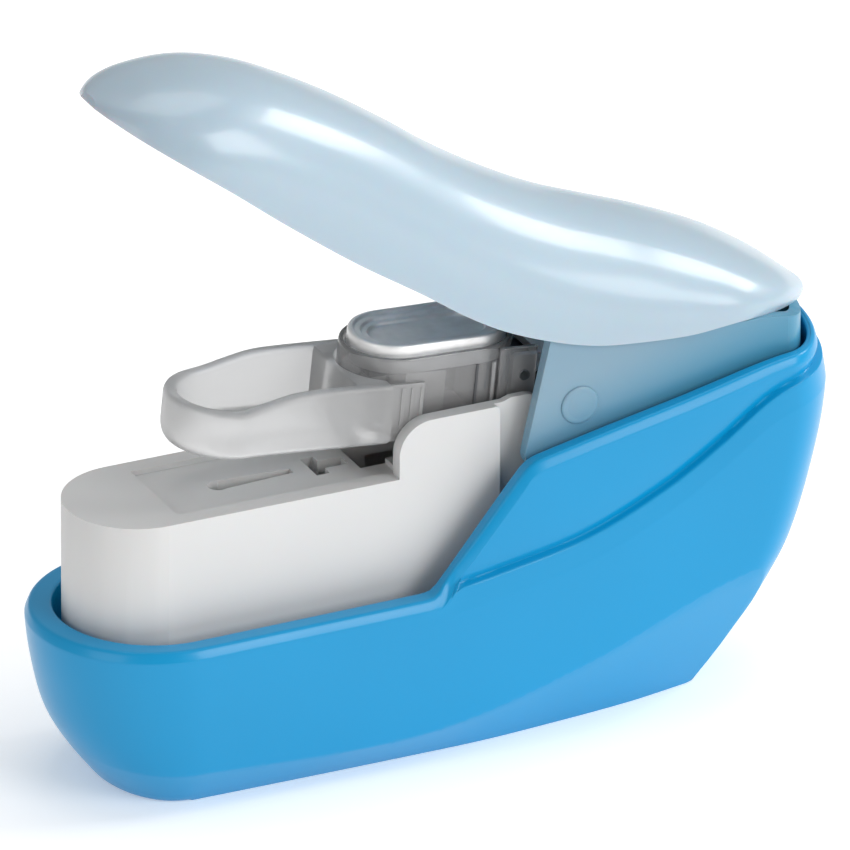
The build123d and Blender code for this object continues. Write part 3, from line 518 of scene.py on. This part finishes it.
def lever_arch(share, count, squeeze=1.0):
    """Points of the cover's outer arch at a share of its length."""
    half = max(smooth(lever_widths, share) * lever_half, 0.4) * squeeze
    under = smooth(lever_unders, share)
    crown = smooth(lever_crowns, share)
    points = []
    for i in range(count + 1):
        angle = math.pi * i / count
        reach = math.copysign(abs(math.cos(angle)) ** (2 / 2.4), math.cos(angle))
        rise = abs(math.sin(angle)) ** (2 / 2.4)
        points.append(lever_place(share, half * reach, under + (crown - under) * rise))
    return points


def lever_shares():
    """Where the cover's cross-sections are, closer together at its ends."""
    count = 150
    return [0.5 - 0.5 * math.cos(math.pi * i / count) for i in range(count + 1)]


def build_lever():
    """The crowned cover: one thin wall with a rounded rim."""
    across = 56
    points = []
    shares = lever_shares()
    for share in shares:
        points += lever_arch(share, across)
    faces = grid_faces(len(shares), across + 1)
    for first in (0, (len(shares) - 1) * (across + 1)):
        faces.append(tuple(range(first, first + across + 1)))
    cover = new_piece("lever_shell", points, faces, "lever", materials["lever_tint"], 60.0)
    thick = cover.modifiers.new("wall", "SOLIDIFY")
    thick.thickness = cover_wall * MM
    thick.offset = -1.0
    thick.use_even_offset = False
    bevel(cover, 0.3, 3, 50.0)
    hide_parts("lever_cover")
    return cover


# ---- skirt, with the ends of the drive pin closed over ----
def build_pin_cap(name, side):
    """Low moulded disc over one end of the drive pin."""
    low, high = box_mm("drive_pin")
    centre_x = (low.x + high.x) / 2
    centre_z = (low.z + high.z) / 2
    face = box_mm("lever_skirt")[1].y
    rings = [(2.55, -0.25), (2.55, 0.12), (2.47, 0.22), (2.3, 0.27), (1.9, 0.28), (1.75, 0.25), (1.6, 0.27),
             (0.8, 0.3)]
    count = 40
    points = []
    for radius, rise in rings:
        for i in range(count):
            turn = 2 * math.pi * i / count
            points.append((centre_x + radius * math.cos(turn), side * (face + rise),
                           centre_z + radius * math.sin(turn)))
    faces = grid_faces(len(rings), count, closed_columns=True)
    faces.append(tuple(range(count)))
    faces.append(tuple(range((len(rings) - 1) * count, len(rings) * count)))
    return new_piece(name, points, faces, "lever", materials["skirt_tint"], 40.0)


# ---- press plate ----
def stadium_ring(x0, x1, half, inset, count=64):
    """Points round a stadium from x0 to x1, set in from its edge."""
    radius = half - inset
    left = x0 + half
    right = x1 - half
    ring = []
    for i in range(count):
        turn = math.pi / 2 + math.pi * i / (count - 1)
        ring.append((left + radius * math.cos(turn), radius * math.sin(turn)))
    for i in range(1, 12):
        ring.append((left + (right - left) * i / 12, -radius))
    for i in range(count):
        turn = -math.pi / 2 + math.pi * i / (count - 1)
        ring.append((right + radius * math.cos(turn), radius * math.sin(turn)))
    for i in range(1, 12):
        ring.append((right + (left - right) * i / 12, radius))
    return ring


def raised(point, extra=0.0, about=None):
    """Turns an arm point from its closed place to its place at rest."""
    x, y, z = point
    if about is not None:
        turn = math.radians(extra)
        dx, dz = x - about[0], z - about[1]
        x = about[0] + dx * math.cos(turn) + dz * math.sin(turn)
        z = about[1] - dx * math.sin(turn) + dz * math.cos(turn)
    turn = math.radians(arm_open)
    dx, dz = x - arm_pivot.x, z - arm_pivot.z
    return (arm_pivot.x + dx * math.cos(turn) + dz * math.sin(turn), y,
            arm_pivot.z - dx * math.sin(turn) + dz * math.cos(turn))


arm_pivot = joint_mm("arm_hinge")
arm_open = joints["arm_hinge"]["range_deg"][1]
punch_x = -0.9
plate_top = 50.85
plate_tilt = -2.6
plate_length = 20.8
plate_half = 5.85


def build_press_plate():
    """Drawn steel cap: rolled lip, two shallow steps and a brushed recess, hollow underneath."""
    x0 = punch_x - plate_length / 2
    x1 = punch_x + plate_length / 2
    rings = [(0.8, -2.4), (0.8, -3.6), (0.72, -3.7), (0.08, -3.7), (0.0, -3.6), (0.0, -0.6), (0.04, -0.3),
             (0.14, -0.1), (0.3, 0.0), (0.62, 0.0), (0.74, -0.06), (0.8, -0.2), (0.84, -0.34), (0.94, -0.4),
             (1.1, -0.38), (1.55, -0.34), (1.66, -0.38), (1.74, -0.5), (1.78, -0.66), (1.88, -0.74),
             (2.05, -0.73), (2.42, -0.7), (2.54, -0.74), (2.6, -0.88), (2.66, -1.04), (2.78, -1.12),
             (3.2, -1.13), (4.3, -1.13), (5.2, -1.13)]
    points = []
    count = 0
    for inset, rise in rings:
        ring = stadium_ring(x0, x1, plate_half, inset)
        count = len(ring)
        points += [raised((x, y, plate_top + rise), plate_tilt, (punch_x, plate_top)) for x, y in ring]
    faces = grid_faces(len(rings), count, closed_columns=True)
    faces.append(tuple(range(count)))
    faces.append(tuple(range((len(rings) - 1) * count, len(rings) * count)))
    plate = new_piece("press_cap", points, faces, "punch", materials["steel"], 50.0)
    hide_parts("press_plate")
    return plate


# ---- clear guide and smoky housing ----
guide_front_x = -35.8
guide_half = 7.9
guide_floor = 38.1
guide_wall = 1.7
housing_half = 6.8
housing_wall = 0.7
housing_floor = 39.5
gate_half = 3.4
gate_top = 46.9
housing_room = 0.95  # from the press plate's ends to the outside of the housing
housing_front_x = punch_x - plate_length / 2 - housing_room
housing_rear_x = punch_x + plate_length / 2 + housing_room
loop_rear_x = -8.5
window_rear_x = housing_front_x - 1.0
guide_tops = [(-36.0, 6.15), (-31.0, 6.2), (-28.5, 6.3), (-25.0, 7.2), (-22.0, 7.9), (-19.0, 8.15),
              (-8.0, 8.2)]


def loop_ring(inset, rear_at, count=40, runs=26, across=36):
    """Points round a loop with a round nose; rear_at gives its rear edge at each offset across."""
    radius = guide_half - inset
    centre = guide_front_x + guide_half
    rear = rear_at(radius)
    ring = []
    for i in range(count + 1):
        turn = math.pi / 2 + math.pi * i / count
        ring.append((centre + radius * math.cos(turn), radius * math.sin(turn)))
    for i in range(1, runs + 1):
        ring.append((centre + (rear - centre) * i / runs, -radius))
    for i in range(1, across):
        y = -radius + 2 * radius * i / across
        ring.append((rear_at(abs(y)), y))
    for i in range(runs + 1):
        ring.append((rear + (centre - rear) * i / (runs + 1), radius))
    return ring


def seat_edge(y):
    """Rear edge of the guide, which fits round the front of the housing."""
    if y >= housing_half:
        return loop_rear_x
    return min(loop_rear_x, housing_front_x + housing_half - math.sqrt(housing_half ** 2 - y * y) - 0.06)


foot_drop = 0.3  # the guide's foot hangs a little lower towards its nose


def build_guide():
    """Clear loop that holds the paper down: one rounded bar with a sloping top and a thicker foot."""
    def height(x, rise, drop=0.0):
        top = guide_floor + smooth(guide_tops, x)
        low = guide_floor - foot_drop * ease(24.0, 33.0, -x) + drop
        return low + (top - low) * rise

    rounding = 6
    rows = []
    for i in range(rounding + 1):
        turn = math.pi / 2 * i / rounding
        rows.append((1.1 * (1 - math.sin(turn)), 0.0, 1 - math.cos(turn)))
    rows += [
        (0.0, 0.5, 0.0), (0.0, 0.75, 0.0), (0.0, 0.88, 0.0), (0.05, 0.93, 0.0), (0.2, 0.975, 0.0),
        (0.45, 1.0, 0.0), (0.8, 1.0, 0.0), (1.2, 1.0, 0.0), (1.45, 0.985, 0.0), (1.62, 0.95, 0.0),
        (1.7, 0.9, 0.0), (1.74, 0.6, 0.0), (1.8, 0.3, 0.0), (1.86, 0.08, 0.0), (1.7, 0.0, 0.05),
        (1.3, 0.0, 0.0),
    ]
    points = []
    count = 0
    for inset, rise, rounded in rows:
        if inset < 0.85 * guide_wall:
            ring = loop_ring(inset, lambda y: seat_edge(y) - min(inset, 0.4))
        else:
            ring = loop_ring(inset, lambda y: window_rear_x + guide_wall - inset)
        count = len(ring)
        for x, y in ring:
            lift = rounded * (0.9 + 1.3 * ease(27.9, 35.8, -x))
            points.append(raised((x, y, height(x, rise, lift))))
    faces = grid_faces(len(rows), count, closed_rows=True, closed_columns=True)
    guide = new_piece("guide_loop", points, faces, "arm", materials["guide_clear"], 55.0)
    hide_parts("paper_guide")
    return guide


def housing_top(x):
    """Top of the housing, which climbs a little towards the rear."""
    return 48.9 + (x - housing_front_x) * 0.05


def build_housing():
    """Smoky clear wall round the punch, open below it, with a gate at the rear for the holder's tail."""
    from_floor = [(0.25, 0.0), (0.06, 0.08), (0.0, 0.3)]
    from_top = [(0.0, -4.5), (0.0, -2.0), (0.0, -0.45), (0.05, -0.18), (0.18, -0.03), (0.34, 0.0),
                (0.52, -0.02), (0.64, -0.12), (0.7, -0.3), (0.7, -2.5), (0.7, -5.0)]
    inner_floor = [(0.7, 1.0), (2.2, 1.0), (2.3, 0.9), (2.3, 0.1), (2.2, 0.0)]
    rows = [(inset, rise, False) for inset, rise in from_floor]
    rows += [(inset, rise, True) for inset, rise in from_top]
    rows += [(inset, rise, False) for inset, rise in inner_floor]
    points = []
    count = 0
    for inset, rise, at_top in rows:
        ring = stadium_ring(housing_front_x, housing_rear_x, housing_half, inset, 40)
        wall_ring = stadium_ring(housing_front_x, housing_rear_x, housing_half,
                                 min(inset, housing_wall), 40)
        count = len(ring)
        for (x, y), (wall_x, wall_y) in zip(ring, wall_ring):
            z = (housing_top(x) if at_top else housing_floor) + rise
            if wall_x > punch_x and abs(wall_y) < gate_half:
                x, y = wall_x, wall_y
                z = max(z, gate_top + (0.0 if at_top else 0.3 * rise))
            points.append(raised((x, y, z)))
    faces = grid_faces(len(rows), count, closed_rows=True, closed_columns=True)
    housing = new_piece("housing_wall", points, faces, "arm",
                        materials["housing_smoke"], 50.0)
    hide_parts("arm_housing")
    return housing


def bar(name, x0, x1, y0, y1, z0, z1, body, slot, edge=0.12):
    """A short moulded bar in the arm's closed place, with rounded edges, turned to where it rests."""
    corners = [(x, y, z) for x in (x0, x1) for y in (y0, y1) for z in (z0, z1)]
    points = [raised(corner) for corner in corners]
    faces = [(0, 1, 3, 2), (4, 6, 7, 5), (0, 4, 5, 1), (2, 3, 7, 6), (0, 2, 6, 4), (1, 5, 7, 3)]
    piece = new_piece(name, points, faces, body, materials[slot], 30.0)
    bevel(piece, edge, 3)
    return piece


def build_arm_details():
    """Rails and ribs between the guide's loop and the housing, and lugs in the housing's sides."""
    top = guide_floor + 8.0
    rail_rear_x = -4.0
    rib_drop = 0.55
    for side, label in ((-1, "near"), (1, "far")):
        low, high = sorted((side * (housing_half - housing_wall), side * housing_half))
        bar("housing_lug_" + label, 6.4, 11.6, low, high, housing_floor, housing_top(10.0) - 0.6, "arm",
            "housing_smoke", 0.3)
        low, high = sorted((side * 6.86, side * 7.3))
        bar("rail_" + label, loop_rear_x - 1.2, rail_rear_x, low, high, guide_floor + 0.3, top, "arm",
            "guide_clear")
        for number, (x, width) in enumerate(((-7.2, 0.5), (-5.9, 0.35), (-4.6, 0.5))):
            low, high = sorted((side * 7.25, side * 7.42))
            bar(f"rail_rib_{label}_{number}", x, x + width, low, high, guide_floor + 0.6, top - rib_drop,
                "arm", "guide_clear", 0.06)
        for number, (x, width) in enumerate(((3.1, 0.35), (5.3, 0.5))):
            low, high = sorted((side * 6.75, side * 6.98))
            bar(f"housing_rib_{label}_{number}", x, x + width, low, high, housing_floor + 0.4,
                housing_top(x) - 2.0, "arm", "housing_smoke" if number else "holder_grey", 0.06)


build_shell()
build_lever()
build_press_plate()
build_guide()
build_housing()
build_arm_details()
build_pin_cap("pin_cap_near", -1)
build_pin_cap("pin_cap_far", 1)
for node_name, edge in (("main_frame", 0.35),
                        ("lever_skirt", 0.25), ("arm_link", 0.15), ("punch_holder", 0.2), ("die_plate", 0.1),
                        ("flap_pusher", 0.1), ("frame_screws", 0.1), ("plate_screws", 0.08),
                        ("lever_pivot_pin", 0.15), ("arm_pivot_pin", 0.12), ("drive_pin", 0.15),
                        ("pusher_pin", 0.1), ("blade_pin", 0.08), ("arm_rivets", 0.08), ("lever_bushes", 0.08),
                        ("pusher_collars", 0.08), ("pivot_clips", 0.06), ("arm_clips", 0.06),
                        ("pusher_spring", 0.03), ("slit_blade", 0.04), ("tongue_cutter", 0.04),
                        ("return_spring", 0.0)):
    dress_node(node_name, edge)


# ---- floor, light and camera ----
def soft_box(name, place, aim, width, height, power):
    """A large soft light at a place, turned towards a point."""
    lamp = bpy.data.lights.new(name, "AREA")
    lamp.shape = "RECTANGLE"
    lamp.size = width
    lamp.size_y = height
    lamp.energy = power
    holder = bpy.data.objects.new(name, lamp)
    holder.location = place
    holder.rotation_euler = (Vector(aim) - Vector(place)).to_track_quat("-Z", "Y").to_euler()
    bpy.context.scene.collection.objects.link(holder)
    return holder


def build_floor():
    """A plain pale floor that fades into the background."""
    mesh = bpy.data.meshes.new("floor")
    reach = 3.0
    corners = [(-reach, -reach, 0), (reach, -reach, 0), (reach, reach, 0), (-reach, reach, 0)]
    mesh.from_pydata(corners, [], [(0, 1, 2, 3)])
    floor = bpy.data.objects.new("floor", mesh)
    material, tree, principled = shader("floor_paint", (0.96, 0.96, 0.96), 0.75,
                                        Emission_Color=(1.0, 1.0, 1.0, 1.0), Emission_Strength=0.26)
    tint(tree, principled, texture_noise(tree, 120.0), (0.95, 0.95, 0.95), (0.97, 0.97, 0.97))
    mesh.materials.append(material)
    bpy.context.scene.collection.objects.link(floor)
    return floor


def build_camera():
    """Camera at the photograph's angle: from the near side, round towards the nose and above."""
    azimuth = math.radians(-25.0)
    elevation = math.radians(25.4)
    distance = 4.427
    target = Vector((0.0, 0.0, 0.0396))
    toward = Vector((math.sin(azimuth) * math.cos(elevation), -math.cos(azimuth) * math.cos(elevation),
                     math.sin(elevation)))
    lens = bpy.data.cameras.new("camera")
    lens.type = "PERSP"
    lens.sensor_width = 36.0
    lens.lens = 1500.0
    lens.clip_start = 0.01
    lens.clip_end = 20.0
    camera = bpy.data.objects.new("camera", lens)
    camera.location = target + toward * distance
    camera.rotation_euler = (-toward).to_track_quat("-Z", "Y").to_euler()
    bpy.context.scene.collection.objects.link(camera)
    bpy.context.scene.camera = camera
    return camera


build_floor()
build_camera()
middle = (0.0, 0.0, 0.04)
soft_box("key", (0.45, -0.80, 0.45), middle, 0.55, 0.5, 4.6)
soft_box("left", (-0.80, -0.35, 0.35), middle, 0.5, 0.5, 1.1)
soft_box("top", (0.15, 0.15, 0.90), middle, 0.6, 0.6, 2.0)
soft_box("side", (0.80, -0.10, 0.55), middle, 0.42, 0.26, 3.6)
world = bpy.data.worlds.new("studio")
bpy.context.scene.world = world
world.use_nodes = True
world.node_tree.nodes["Background"].inputs["Color"].default_value = (1.0, 1.0, 1.0, 1.0)
world.node_tree.nodes["Background"].inputs["Strength"].default_value = 0.42
bpy.context.scene.view_settings.view_transform = "Standard"
